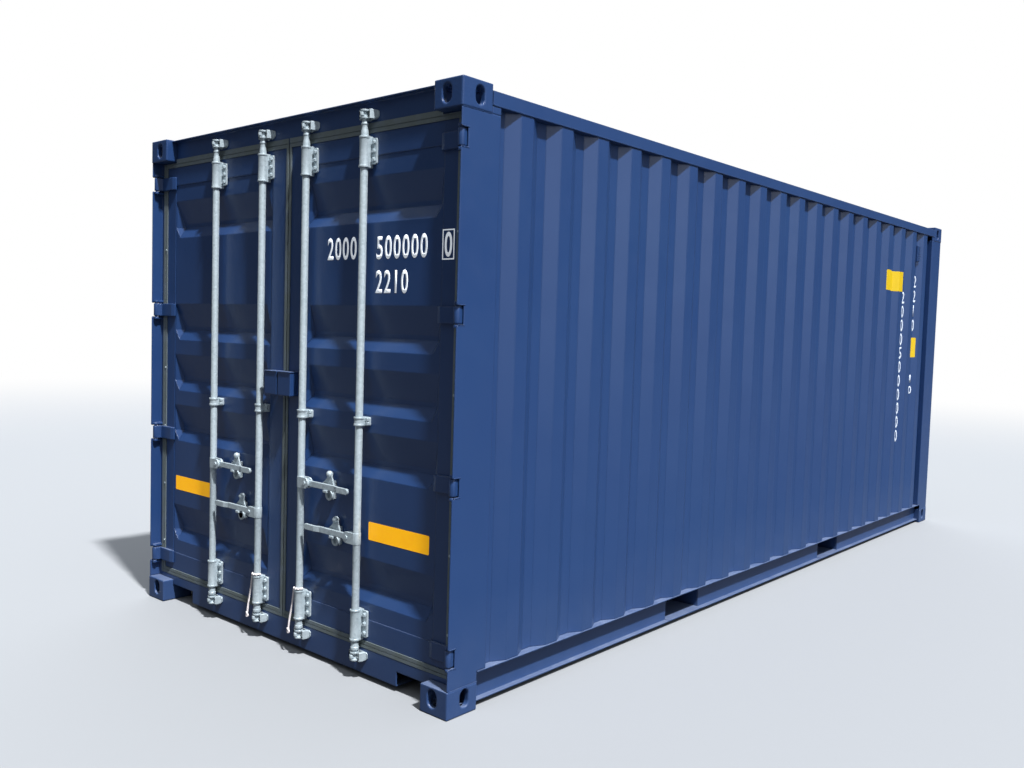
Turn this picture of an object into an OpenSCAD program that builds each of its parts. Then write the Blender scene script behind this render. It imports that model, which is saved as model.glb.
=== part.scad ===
// Twenty foot dry cargo container, doors at the -Y end, in millimetres.
// The origin is at the middle of the footprint, level with the undersides of the corner fittings.

/* [Overall] */
// Length over the corner fittings
body_l = 6058; // [4000:1:12192]
// Width over the corner fittings
body_w = 2438; // [2200:1:2600]
// Height over the corner fittings
body_h = 2591; // [2300:1:2896]

/* [Corner fittings] */
// Length of a fitting along the container
fit_l = 178; // [170:1:190]
// Width of a fitting
fit_w = 162; // [155:1:170]
// Height of a fitting
fit_h = 118; // [110:1:130]
// Thickness of the pierced outer walls
fit_wall = 28; // [20:1:30]
// Thickness of the closed inner walls
fit_inner = 12; // [8:1:13]
// Length of the top and bottom slots
slot_l = 124.5; // [110:0.5:126]
// Width of the top and bottom slots
slot_w = 63.5; // [55:0.5:65]
// Distance of a slot's centre from the container's end
slot_from_end = 102.5; // [100:0.5:103]
// Distance of a slot's centre from the container's side
slot_from_side = 89.5; // [86:0.5:92]
// Height of the side and end apertures
lash_slot_h = 77; // [60:1:80]
// Width of the side and end apertures
lash_slot_w = 51; // [45:1:54]
// Height of a bottom fitting's apertures above its underside
lash_rise_bottom = 69; // [59:1:72]
// Distance of a top fitting's apertures below its top
lash_drop_top = 59; // [55:1:64]

/* [Base] */
// Height of the base frame's underside above the ground
base_clear = 25; // [12:1:40]
// Top of the bottom side rails
rail_top = 163; // [150:1:175]
// Width of the bottom side rail's top flange
rail_flange = 48; // [40:1:60]
// Width of the bottom side rail's lower flange
rail_lip = 30; // [20:1:40]
// Thickness of the rolled and pressed rails
rail_t = 4.5; // [3:0.5:6]
// Depth of a cross member
cross_h = 122; // [100:1:122]
// Width of a cross member's top flange
cross_top_w = 45; // [40:1:60]
// Width of a cross member's bottom flange
cross_foot_w = 40; // [30:1:45]
// Thickness of the cross members
cross_t = 4; // [3:0.5:5]
// Largest spacing of the cross members
cross_pitch = 305; // [250:5:400]
// Thickness of the plywood floor
floor_t = 28; // [21:1:30]
// Distance between the fork pockets' centres
pocket_pitch = 2048; // [1200:1:2100]
// How far the pair of pockets sits toward the doors
pocket_shift = 86; // [0:1:250]
// Width of a fork pocket
pocket_w = 352; // [300:1:380]
// Thickness of the straps under a fork pocket's ends
strap_t = 6; // [4:1:8]
// Length of those straps
strap_l = 200; // [150:1:300]

/* [Side walls] */
// Thickness of the wall sheet
sheet_t = 2; // [1.6:0.1:3]
// Distance from one wall corrugation to the next
wave_pitch = 276.4; // [240:0.2:320]
// Depth of the wall corrugations
wave_depth = 36; // [20:1:36]
// Width of an outer flat
wave_flat = 80; // [60:1:100]
// Run of a slanted side
wave_slope = 68; // [50:1:80]
// How far the outer flats sit inside the fittings
wave_inset = 5; // [3:1:8]
// Size of the square top side rails
top_rail = 60; // [50:1:65]
// Wall of the top rails
top_rail_t = 3; // [3:0.5:5]
// How far the top rails lie below the top of the fittings
top_rail_drop = 25; // [20:1:40]

/* [Roof] */
// How far the roof lies below the top fittings
roof_drop = 6; // [4:1:15]
// Height of the roof's pressed ribs
roof_rib_h = 17; // [12:1:20]
// Distance between the roof's ribs
roof_pitch = 209; // [180:1:260]
// Width of a rib's top
roof_rib_w = 91; // [60:1:100]

/* [Front end] */
// How far the front sill and header lie inside the end of the fittings
front_inset = 10; // [5:1:20]
// Width of the front sill and header
front_rail_w = 70; // [60:1:90]
// Height of the front header
front_header_h = 76; // [60:1:100]
// Distance between the front wall's corrugations
front_pitch = 250; // [220:1:280]
// Depth of the front wall's corrugations
front_depth = 45; // [30:1:50]
// Width of an outer flat of the front wall
front_flat = 110; // [80:1:115]
// Run of a slanted side of the front wall
front_slope = 18; // [15:1:30]

/* [Posts] */
// How far the posts' faces lie inside the faces of the fittings
post_inset = 3; // [0:0.5:5]
// Length of a post along the container's side
post_l = 232; // [200:1:260]
// Thickness of a post's pressed outer section
post_t = 6; // [4:0.5:8]
// Inner face of the door opening, from the container's side
jamb = 49; // [45:1:55]
// Depth of a door post's inner channel
channel_l = 113; // [90:1:130]
// Thickness of the inner channel
channel_t = 12; // [8:1:14]
// Width of a front post's end face
front_post_w = 162; // [140:1:162]

/* [Doors] */
// Depth of the door faces behind the end of the fittings
leaf_face = 63; // [60:1:70]
// Thickness of a door leaf
leaf_t = 50; // [40:1:50]
// Underside of the leaves
leaf_low = 177; // [170:1:185]
// Distance of the leaves' tops below the top of the fittings
leaf_drop = 147; // [140:1:400]
// Width of the outer stile
outer_stile = 83; // [70:1:110]
// Width of the inner stile
inner_stile = 114; // [90:1:130]
// Height of the leaf's top and bottom rails
leaf_rail = 100; // [80:1:120]
// Wall of the leaf's stiles and rails
leaf_wall = 3; // [2:0.5:4]
// Half of the gap between the leaves' steel edges
leaf_gap = 20; // [16:1:25]
// Height of the lowest trough's lower edge above the leaf's underside
trough_rise = 176; // [150:1:200]
// Rise of a trough's steep lower side
trough_low_side = 58; // [40:1:70]
// Height of a trough's floor
trough_floor = 20; // [10:1:60]
// Rise of a trough's long upper side
trough_high_side = 124; // [60:1:130]
// Depth of a trough
trough_depth = 34; // [20:1:40]

/* [Hinges] */
// Distance of a hinge pin's axis from the container's side
pin_side = 22; // [20:1:24]
// Depth of a hinge pin's axis behind the end of the fittings
pin_depth = 22; // [20:1:24]
// Radius of a hinge barrel
barrel_r = 14; // [12:0.5:15]
// Radius of a hinge pin
pin_r = 8; // [6:0.5:9]
// Running clearance of a hinge barrel on its pin
pin_clear = 0.3; // [0.1:0.1:0.5]
// Height of a hinge blade
blade_h = 70; // [60:1:90]
// Thickness of a hinge blade
blade_t = 12; // [10:1:13]
// Clearance above and below a hinge blade
blade_clear = 5; // [5:1:8]
// Height of a hinge lug
lug_h = 14; // [10:1:20]

/* [Locking gear] */
// Radius of a locking bar
bar_r = 17; // [14:0.5:19]
// Depth of the locking bars' axes behind the end of the fittings
bar_depth = 30; // [28:1:34]
// Distance of the inner bars from the middle of the doors
bar_inner = 176; // [160:1:260]
// Distance of the outer bars from the middle of the doors
bar_outer = 596; // [500:1:760]
// Height of the hubs of the first and third handles
hub_high = 848; // [800:1:1100]
// Height of the hubs of the second and fourth handles
hub_low = 643; // [600:1:780]
// Distance of a handle's rivet from its bar's axis
hub_reach = 52; // [45:1:60]
// Reach of a handle from its bar's axis
handle_l = 370; // [330:1:380]
// Height of a handle's blade
handle_h = 28; // [22:1:34]
// Thickness of a handle's blade
handle_t = 12; // [10:1:14]
// Depth of a handle's middle plane behind the end of the fittings
handle_depth = 26; // [25:1:28]
// How far a handle's grip steps out
grip_offset = 10; // [5:1:12]
// Radius of a cam's boss
cam_r = 21; // [18:1:22]
// Height of a cam
cam_h = 40; // [36:1:50]
// Middle of the lower cams
cam_low = 108; // [95:1:110]
// Distance of the upper cams' middles below the top of the fittings
cam_drop = 71; // [66:1:91]
// Gap between a cam and its keeper's jaws
cam_clear = 5; // [5:1:8]

/* [Hidden] */

// Colours of the finishes
blue = [0.17, 0.26, 0.46];
zinc = [0.74, 0.78, 0.78];
rubber_grey = [0.28, 0.28, 0.25];
rope_white = [0.85, 0.78, 0.78];

// A hair's breadth that makes a cut run past a face
eps = 1;
// Clearance of a soft or moving piece that lies against its seat
seat_gap = 0.3;
half_l = body_l / 2;
half_w = body_w / 2;
top_rail_top = body_h - top_rail_drop;
top_rail_low = top_rail_top - top_rail;
leaf_high = body_h - leaf_drop;
leaf_h = leaf_high - leaf_low;
cam_high = body_h - cam_drop;
wall_out = half_w - wave_inset;
wall_in = wall_out - wave_depth;
web_out = half_w - rail_flange;
web_in = web_out - rail_t;
cross_low = rail_top - 13 - cross_h;
floor_low = rail_top - 13;
floor_top = floor_low + floor_t;
fit_in = half_w - fit_w;
jamb_x = half_w - jamb;

// Y of a depth behind the door end
function at(depth) = -half_l + depth;

module both_sides() {
    children();
    mirror([1, 0, 0]) children();
}

module both_ends() {
    children();
    mirror([0, 1, 0]) children();
}

// Box from its lowest to its highest corner
module span(lo, hi) {
    translate(lo) cube(hi - lo);
}

// Slot with round ends, long along X, running up from z = 0
module slot(len, wid, tall) {
    for (s = [-1, 1])
        translate([s * (len - wid) / 2, 0, 0]) cylinder(d = wid, h = tall, $fn = 48);
    translate([-(len - wid) / 2, -wid / 2, 0]) cube([len - wid, wid, tall]);
}

// Corner fitting with its outer corner at the origin and its long slot in the underside;
// rise is the height of its end and side apertures
module corner_fitting(rise) {
    difference() {
        cube([fit_w, fit_l, fit_h]);
        translate([fit_wall, fit_wall, fit_wall])
            cube([fit_w - fit_wall - fit_inner, fit_l - fit_wall - fit_inner, fit_h - fit_wall - fit_inner]);
        translate([slot_from_side, slot_from_end, -eps]) rotate([0, 0, 90])
            slot(slot_l, slot_w, fit_wall + 2 * eps);
        translate([slot_from_side, -eps, rise]) rotate([-90, 90, 0])
            slot(lash_slot_h, lash_slot_w, fit_wall + 2 * eps);
        translate([-eps, slot_from_end, rise]) rotate([0, 90, 0])
            slot(lash_slot_h, lash_slot_w, fit_wall + 2 * eps);
    }
}

module four_fittings(rise) {
    both_sides() both_ends()
        translate([-half_w, -half_l, 0]) corner_fitting(rise);
}

module corner_fittings_bottom() {
    color(blue) four_fittings(lash_rise_bottom);
}

module corner_fittings_top() {
    color(blue) translate([0, 0, body_h]) mirror([0, 0, 1]) four_fittings(lash_drop_top);
}

// Y of the middle of each fork pocket
pocket_ys = [-pocket_pitch / 2 - pocket_shift, pocket_pitch / 2 - pocket_shift];
pocket_low = base_clear + strap_t;
pocket_high = floor_low - cross_t;

// Outward facing channel between the posts: an upper angle, and lower lengths that stop at the fork pockets
weld_gap = 0.3;
module bottom_rail() {
    starts = [at(fit_l), for (y = pocket_ys) y + pocket_w / 2];
    ends = [for (y = pocket_ys) y - pocket_w / 2, half_l - fit_l];
    color(blue) {
        span([web_in, at(fit_l), pocket_high], [web_out, half_l - fit_l, rail_top]);
        span([web_out - eps, at(fit_l), rail_top - rail_t], [half_w, half_l - fit_l, rail_top]);
        for (k = [0:len(starts) - 1]) {
            span([web_in, starts[k], base_clear], [web_out, ends[k], pocket_high - weld_gap]);
            span([web_out - eps, starts[k], base_clear], [web_out + rail_lip, ends[k], base_clear + rail_t]);
        }
    }
}

module bottom_rail_right() { bottom_rail(); }
module bottom_rail_left() { mirror([1, 0, 0]) bottom_rail(); }

// Front sill, a hollow rail between the two front fittings
front_rail_y = half_l - front_inset - front_rail_w;
module hollow_rail_x(y0, y1, z0, z1, half, t) {
    difference() {
        span([-half, y0, z0], [half, y1, z1]);
        span([-half - eps, y0 + t, z0 + t], [half + eps, y1 - t, z1 - t]);
    }
}

module front_sill() {
    color(blue) hollow_rail_x(front_rail_y, front_rail_y + front_rail_w,
        base_clear, rail_top, fit_in, rail_t);
}

// Door sill: face, ledge under the leaves, riser and threshold, open to the rear
sill_face = leaf_face - 3;
sill_ledge = leaf_low - 34;
sill_riser = leaf_face + leaf_t + 3;
sill_back = 178;
sill_t = 6;
notch_w = 211;
notch_top = 90;
module door_sill() {
    color(blue) difference() {
        translate([-jamb_x, 0, 0]) rotate([90, 0, 90]) linear_extrude(2 * jamb_x) polygon([
            [at(sill_face), base_clear], [at(sill_back), base_clear], [at(sill_back), base_clear + sill_t],
            [at(sill_face + sill_t), base_clear + sill_t], [at(sill_face + sill_t), sill_ledge - sill_t],
            [at(sill_riser + sill_t), sill_ledge - sill_t], [at(sill_riser + sill_t), floor_top - sill_t],
            [at(sill_back), floor_top - sill_t], [at(sill_back), floor_top],
            [at(sill_riser), floor_top], [at(sill_riser), sill_ledge], [at(sill_face), sill_ledge]]);
        both_sides() {
            span([fit_in, at(sill_face) - eps, 0], [half_w, at(fit_l + eps), fit_h]);
            span([fit_in - notch_w, at(sill_face) - eps, 0],
                [fit_in + eps, at(sill_back) + eps, notch_top]);
        }
    }
}

// Cross members fill each stretch between the ends and the pockets at even spacing
cross_start = at(sill_back) + cross_top_w;
cross_end = front_rail_y - cross_top_w;
module cross_member(y) {
    translate([-web_in, y, cross_low]) rotate([90, 0, 90]) linear_extrude(2 * web_in) polygon([
        [0, 0], [cross_foot_w, 0], [cross_foot_w, cross_t], [cross_t, cross_t],
        [cross_t, cross_h - cross_t], [cross_top_w, cross_h - cross_t], [cross_top_w, cross_h],
        [0, cross_h]]);
}

module cross_stretch(y0, y1) {
    count = ceil((y1 - y0) / cross_pitch);
    for (k = [0:count - 1])
        cross_member(y0 + (k + 0.5) * (y1 - y0) / count - cross_top_w / 2);
}

module cross_members() {
    half_pocket = pocket_w / 2 + cross_t;
    color(blue) {
        cross_stretch(cross_start, pocket_ys[0] - half_pocket);
        cross_stretch(pocket_ys[0] + half_pocket, pocket_ys[1] - half_pocket);
        cross_stretch(pocket_ys[1] + half_pocket, cross_end);
    }
}

// Each fork pocket is two side plates and a top plate right across, with a strap under each end
module fork_pockets() {
    half = pocket_w / 2;
    color(blue) for (y = pocket_ys) {
        for (s = [-1, 1])
            span([-web_in, y + s * (half + cross_t / 2) - cross_t / 2, base_clear],
                [web_in, y + s * (half + cross_t / 2) + cross_t / 2, pocket_high - weld_gap]);
        span([-web_in, y - half - cross_t, pocket_high], [web_in, y + half + cross_t, floor_low]);
        both_sides() span([web_in - strap_l, y - half + weld_gap, base_clear],
            [web_out + rail_lip, y + half - weld_gap, pocket_low]);
    }
}

module plywood_floor() {
    color([0.45, 0.3, 0.18])
        span([-web_in, at(sill_back), floor_low], [web_in, front_rail_y, floor_top]);
}

// Door post: pressed outer section with its front edge notched for the hinges, and a rolled channel
hinge_zs = [for (f = [0.0322, 0.3432, 0.6511, 0.9612]) leaf_low + f * leaf_h];
notch_depth = 42;
post_flange = leaf_face + 1;
notch_h = blade_h + 2 * blade_clear;
post_out = half_w - post_inset;
post_in = post_out - post_t;
post_top = body_h - fit_h;
channel_front = post_flange + post_t;
channel_out = jamb_x + 36;
module door_post() {
    color(blue) difference() {
        union() {
            span([post_in, at(post_inset), fit_h], [post_out, at(post_l), post_top]);
            span([jamb_x, at(post_flange), fit_h], [post_in, at(post_flange + post_t), post_top]);
            span([wall_in - sheet_t, at(post_l - post_t), fit_h], [post_in, at(post_l), post_top]);
            difference() {
                span([jamb_x, at(channel_front), fit_h],
                    [channel_out, at(channel_front + channel_l), post_top]);
                span([jamb_x + channel_t, at(channel_front + channel_t), fit_h - eps],
                    [channel_out + eps, at(channel_front + channel_l - channel_t), post_top + eps]);
            }
        }
        for (z = hinge_zs)
            span([post_in - eps, at(-eps), z - notch_h / 2], [half_w, at(notch_depth), z + notch_h / 2]);
        span([0, at(fit_l), 0], [half_w + eps, at(post_l + eps), rail_top]);
        span([0, at(fit_l), top_rail_low], [half_w + eps, at(post_l + eps), body_h]);
    }
}

module door_post_right() { door_post(); }
module door_post_left() { mirror([1, 0, 0]) door_post(); }

// Front post: pressed from one plate, open to the inside
module front_posts() {
    color(blue) both_sides() difference() {
        linear_extrude_between(fit_h, body_h - fit_h) polygon([
            [front_post_in, front_post_face], [post_out, front_post_face], [post_out, half_l - post_l],
            [wall_in - sheet_t, half_l - post_l], [wall_in - sheet_t, half_l - post_l + post_t],
            [post_in, half_l - post_l + post_t], [post_in, front_post_face - post_t],
            [front_post_in + post_t, front_post_face - post_t],
            [front_post_in + post_t, half_l - front_post_back],
            [front_post_in, half_l - front_post_back]]);
        span([0, half_l - post_l - eps, 0], [half_w + eps, half_l - fit_l, rail_top]);
        span([0, half_l - post_l - eps, top_rail_low], [half_w + eps, half_l - fit_l, body_h]);
    }
}
front_post_back = 60;
front_post_in = half_w - front_post_w;
front_post_face = half_l - post_inset;

module linear_extrude_between(z0, z1) {
    translate([0, 0, z0]) linear_extrude(z1 - z0) children();
}

pin_x = half_w - pin_side;
pin_y = at(pin_depth);

// Two lugs and a pin at each hinge
lug_r = min(barrel_r, post_in - pin_x);
module hinge_lugs() {
    color(blue) both_sides() for (z = hinge_zs) {
        for (s = [-1, 1])
            translate([0, 0, z + s * (notch_h + lug_h) / 2 - lug_h / 2]) {
                translate([pin_x, pin_y, 0]) cylinder(r = lug_r, h = lug_h, $fn = 48);
                span([pin_x - pin_r, pin_y, 0], [post_in, at(post_flange), lug_h]);
            }
        translate([pin_x, pin_y, z - notch_h / 2 - lug_h])
            cylinder(r = pin_r, h = notch_h + 2 * lug_h, $fn = 48);
    }
}

// Square tube along the top of each side wall, between the fittings
module top_rail() {
    color(blue) difference() {
        span([half_w - top_rail, at(fit_l), top_rail_low], [half_w, half_l - fit_l, top_rail_top]);
        span([half_w - top_rail + top_rail_t, at(fit_l) - eps, top_rail_low + top_rail_t],
            [half_w - top_rail_t, half_l - fit_l + eps, top_rail_top - top_rail_t]);
    }
}

module top_rail_right() { top_rail(); }
module top_rail_left() { mirror([1, 0, 0]) top_rail(); }

module front_header() {
    color(blue) hollow_rail_x(front_rail_y, front_rail_y + front_rail_w,
        top_rail_top - front_header_h, top_rail_top, fit_in, rail_t);
}

// Door header: hollow rail over the leaves, cut back beside the top fittings, with an upstand and a gutter
header_low = leaf_high + 14;
header_top = top_rail_top;
header_face = post_flange;
gutter_top = body_h - roof_drop;
gutter_t = 6;
gutter_front = 34;
module door_header() {
    color(blue) {
        difference() {
            span([-jamb_x, at(header_face), header_low], [jamb_x, at(fit_l), header_top]);
            span([-jamb_x - eps, at(header_face + sill_t), header_low + sill_t],
                [jamb_x + eps, at(fit_l - sill_t), header_top - sill_t]);
            both_sides() span([fit_in, at(-eps), body_h - fit_h], [half_w, at(fit_l + eps), body_h]);
        }
        span([-fit_in, at(header_face), header_top - eps], [fit_in, at(header_face + sill_t), gutter_top]);
        span([-fit_in, at(gutter_front), gutter_top - gutter_t],
            [fit_in, at(header_face + sill_t), gutter_top]);
    }
}

// Roof sheet: pans pressed up across it with sloping ends, flat along its edges and cut round the fittings
roof_low = body_h - roof_drop - roof_rib_h - sheet_t;
roof_x = half_w - 14;
rib_x = half_w - top_rail - 65;
roof_y0 = at(fit_l);
roof_y1 = half_l - fit_l;
roof_lap = 30;
roof_ramp = 25;
roof_count = floor((roof_y1 - roof_y0 - roof_rib_w - 2 * roof_ramp) / roof_pitch) + 1;
roof_start = -(roof_count - 1) * roof_pitch / 2;
roof_xs = [-roof_x, -rib_x - roof_ramp, -rib_x, rib_x, rib_x + roof_ramp, roof_x];
roof_ys = [roof_y0, each [for (k = [0:roof_count - 1], e = [-roof_rib_w / 2 - roof_ramp, -roof_rib_w / 2,
    roof_rib_w / 2, roof_rib_w / 2 + roof_ramp]) roof_start + k * roof_pitch + e], roof_y1];

roof_lifts = [for (j = [0:len(roof_ys) - 1]) [for (i = [0:5])
    (i == 2 || i == 3) && j > 0 && j < len(roof_ys) - 1 && (j % 4 == 2 || j % 4 == 3) ? roof_rib_h : 0]];

// Sheet pressed to a height at each crossing of its lines, us along X and vs along Y
module pressed_sheet(us, vs, lifts) {
    nu = len(us);
    nv = len(vs);
    n = nu * nv;
    points = [for (z = [sheet_t, 0], j = [0:nv - 1], i = [0:nu - 1]) [us[i], vs[j], z + lifts[j][i]]];
    cells = [for (j = [0:nv - 2], i = [0:nu - 2]) j * nu + i];
    rim = concat([for (i = [0:nu - 2]) i], [for (j = [0:nv - 2]) j * nu + nu - 1],
        [for (i = [nu - 1:-1:1]) n - nu + i], [for (j = [nv - 1:-1:1]) j * nu]);
    m = len(rim);
    faces = concat(
        [for (c = cells) each [[c, c + nu, c + nu + 1], [c, c + nu + 1, c + 1]]],
        [for (c = cells) each [[n + c, n + c + nu + 1, n + c + nu], [n + c, n + c + 1, n + c + nu + 1]]],
        [for (k = [0:m - 1]) let (a = rim[k], b = rim[(k + 1) % m])
            each [[a, b, n + b], [a, n + b, n + a]]]);
    polyhedron(points, faces);
}

module roof_panel() {
    color(blue) {
        translate([0, 0, roof_low]) pressed_sheet(roof_xs, roof_ys, roof_lifts);
        span([-fit_in, roof_y0 - roof_lap, roof_low], [fit_in, roof_y0 - weld_gap, roof_low + sheet_t]);
        span([-fit_in, roof_y1 + weld_gap, roof_low], [fit_in, front_rail_y + roof_lap, roof_low + sheet_t]);
    }
}

// Sheet with trapezoid corrugations: starts low, and its flats stand out by depth
module wave_sheet(from, to, start, count, pitch, flat, slope, depth) {
    face = [[from, 0], each [for (k = [0:count - 1]) let (a = start + k * pitch) each [
        [a, depth], [a + slope, 0], [a + pitch - flat - slope, 0], [a + pitch - flat, depth]]], [to, 0]];
    first = [[from, 0], [start - flat - slope, 0], [start - flat, depth]];
    last_x = start + count * pitch;
    last = [[last_x, depth], [last_x + slope, 0], [to, 0]];
    middle = [for (i = [1:len(face) - 2]) face[i]];
    edge = concat(first, middle, last);
    n = len(edge);
    polygon(concat(edge, [for (i = [n - 1:-1:0]) edge[i] - [0, sheet_t]]));
}

wave_room = body_l - 2 * post_l - 60 - 2 * wave_slope - wave_flat;
wave_count = floor(wave_room / wave_pitch);
wave_start = -(wave_count * wave_pitch - wave_flat) / 2;
module side_wall() {
    color(blue) translate([wall_in, 0, rail_top]) rotate([0, 0, 90]) mirror([0, 1, 0])
        linear_extrude(top_rail_low - rail_top)
            wave_sheet(at(post_l), half_l - post_l, wave_start, wave_count,
                wave_pitch, wave_flat, wave_slope, wave_depth);
}

module right_wall() { side_wall(); }
module left_wall() { mirror([1, 0, 0]) side_wall(); }

// Front wall between the front posts
front_room = 2 * (half_w - front_post_w) - 2 * front_slope - front_flat - 20;
front_count = floor(front_room / front_pitch);
front_start = -(front_count * front_pitch - front_flat) / 2;
front_face = front_rail_y + front_rail_w - front_depth - 6;
module front_wall() {
    color(blue) translate([0, front_face, rail_top]) linear_extrude(top_rail_top - front_header_h - rail_top)
        wave_sheet(-half_w + front_post_w, half_w - front_post_w, front_start, front_count,
            front_pitch, front_flat, front_slope, front_depth);
}

// Small vents high in the last recess of each side wall, at opposite corners
vent_l = 54;
vent_h = 130;
vent_z = body_h - 256;
vent_t = 27;
vent_y = wave_start + (wave_count - 1) * wave_pitch + (wave_pitch - wave_flat) / 2;
module wall_vent() {
    span([wall_in, vent_y - vent_l / 2, vent_z - vent_h / 2],
        [wall_in + vent_t, vent_y + vent_l / 2, vent_z + vent_h / 2]);
}

module wall_vents() {
    color(blue) {
        wall_vent();
        rotate([0, 0, 180]) wall_vent();
    }
}

// Keeper: two jaws beside the cam, slotted where its nose turns past, on a back plate with a stub
keeper_w = 31;
keeper_front = bar_depth - 4;
keeper_t = 4;
nose_room = 34;
nose_slot = 26;
module cam_keeper(z, seat, stub_low, stub_high) {
    back = seat - bar_depth;
    inner = cam_r + cam_clear;
    outer = inner + keeper_w;
    translate([0, 0, z]) difference() {
        intersection() {
            translate([0, at(bar_depth), -cam_h / 2]) linear_extrude(cam_h) both_sides() polygon([
                [0, back - keeper_t], [inner, back - keeper_t], [inner, keeper_front - bar_depth],
                [inner + 9, keeper_front - bar_depth], [inner + 15, 6], [outer - 8, back - keeper_t],
                [outer, back - keeper_t], [outer, back], [0, back]]);
            along_y(0, seat) polygon([[-outer, -8], [-outer + 14, -cam_h / 2], [outer - 14, -cam_h / 2],
                [outer, -8], [outer, 12], [outer - 9, cam_h / 2], [-outer + 9, cam_h / 2], [-outer, 12]]);
        }
        translate([0, at(bar_depth), -nose_slot / 2]) intersection() {
            cylinder(r = nose_room, h = nose_slot, $fn = 48);
            span([-outer, -outer, 0], [outer, back - 2 * keeper_t, nose_slot]);
        }
    }
    span([-6, at(bar_depth + cam_r + cam_clear), z - stub_low], [6, at(seat), z + stub_high]);
}

module cam_keepers() {
    color(zinc) both_sides() for (x = [bar_inner, bar_outer]) translate([x, 0, 0]) {
        cam_keeper(cam_low, sill_face, 39, 20);
        cam_keeper(cam_high, header_face, 24, 24);
    }
}

// Door leaf frame, right hand
leaf_out = jamb_x - 24;
panel_x0 = leaf_gap + inner_stile;
panel_x1 = leaf_out - outer_stile;
module leaf_tube(x0, x1) {
    difference() {
        span([x0, at(leaf_face), leaf_low], [x1, at(leaf_face + leaf_t), leaf_high]);
        span([x0 + leaf_wall, at(leaf_face + leaf_wall), leaf_low - eps],
            [x1 - leaf_wall, at(leaf_face + leaf_t - leaf_wall), leaf_high + eps]);
    }
}

module leaf_channel() {
    translate([panel_x0, 0, leaf_low]) rotate([90, 0, 90]) linear_extrude(panel_x1 - panel_x0) polygon([
        [at(leaf_face), 0], [at(leaf_face + leaf_t), 0], [at(leaf_face + leaf_t), leaf_rail],
        [at(leaf_face + leaf_t - leaf_wall), leaf_rail], [at(leaf_face + leaf_t - leaf_wall), leaf_wall],
        [at(leaf_face + leaf_wall), leaf_wall], [at(leaf_face + leaf_wall), leaf_rail],
        [at(leaf_face), leaf_rail]]);
}

module leaf_frame() {
    color(blue) {
        leaf_tube(leaf_gap, panel_x0);
        leaf_tube(panel_x1, leaf_out);
        leaf_channel();
        translate([0, 0, leaf_low + leaf_high]) mirror([0, 0, 1]) leaf_channel();
    }
}

// Door panel with troughs that run across it, steep below and long above, left out beside the labels
trough_slots = [0, 2, 3, 4, 6];
trough_pitch = 0.12505 * leaf_h;
trough_first = leaf_low + trough_rise;
trough_ramp = 45;
module leaf_panel() {
    floor_end = trough_low_side + trough_floor;
    steps = [0, trough_low_side, floor_end, floor_end + trough_high_side];
    us = [panel_x0, panel_x0 + trough_ramp, panel_x1 - trough_ramp, panel_x1];
    vs = [leaf_low + leaf_wall, each [for (k = trough_slots, s = steps) trough_first + k * trough_pitch + s],
        leaf_high - leaf_wall];
    last = len(vs) - 1;
    lifts = [for (j = [0:last]) [for (i = [0:3])
        (i == 1 || i == 2) && j > 0 && j < last && (j % 4 == 2 || j % 4 == 3) ? -trough_depth : 0]];
    color(blue) translate([0, at(leaf_face + leaf_wall + sheet_t), 0]) rotate([90, 0, 0])
        pressed_sheet(us, vs, lifts);
}

// Gasket round the leaf: a body in the gap and a grooved lip in front that covers the joint
gasket_back = leaf_face + leaf_t - 3;
gasket_gap = 5;
lip_w = 16;
lip_rise = 44;
lip_groove_in = 16;
lip_groove_out = 20;
lip_front = leaf_face - 4;
lip_back = post_flange - seat_gap;
module leaf_ring(x1, z1, d0, d1) {
    difference() {
        span([gasket_gap, at(d0), sill_ledge + seat_gap], [x1, at(d1), z1]);
        span([leaf_gap, at(d0) - eps, leaf_low], [leaf_out, at(d1) + eps, leaf_high]);
    }
}

module leaf_offset_box(by, d0, d1) {
    span([leaf_gap - by, at(d0), leaf_low - by], [leaf_out + by, at(d1), leaf_high + by]);
}

module leaf_gasket() {
    color(rubber_grey) {
        leaf_ring(jamb_x - seat_gap, header_low - seat_gap, lip_back - eps, gasket_back);
        difference() {
            leaf_ring(jamb_x + lip_w, leaf_high + lip_rise, lip_front, lip_back);
            difference() {
                leaf_offset_box(lip_groove_out, lip_front - eps, lip_back - 2);
                leaf_offset_box(lip_groove_in, lip_front - 2 * eps, lip_back);
            }
            span([fit_in - gasket_gap, at(0), body_h - fit_h - gasket_gap],
                [half_w, at(leaf_face + eps), body_h]);
        }
    }
}

// Hinge blades: barrel, knuckle and a plate that reaches to the outer stile
blade_face = pin_depth + 24;
blade_reach = 145;
module hinge_blades() {
    color(blue) for (z = hinge_zs) translate([pin_x, pin_y, z - blade_h / 2]) difference() {
        union() {
            cylinder(r = barrel_r, h = blade_h, $fn = 48);
            linear_extrude(blade_h) polygon([
                [barrel_r - 1, 0], [10, blade_face - pin_depth], [4, blade_face - pin_depth + blade_t],
                [-pin_side_to_leaf, blade_face - pin_depth + blade_t], [-pin_side_to_leaf, leaf_face - pin_depth],
                [-blade_reach, leaf_face - pin_depth], [-blade_reach, leaf_face - pin_depth - 8],
                [-blade_reach + 24, blade_face - pin_depth], [-20, blade_face - pin_depth], [-barrel_r, 0]]);
        }
        translate([0, 0, -eps]) cylinder(r = pin_r + pin_clear, h = blade_h + 2 * eps, $fn = 48);
    }
}
pin_side_to_leaf = pin_x - leaf_out;

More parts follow.
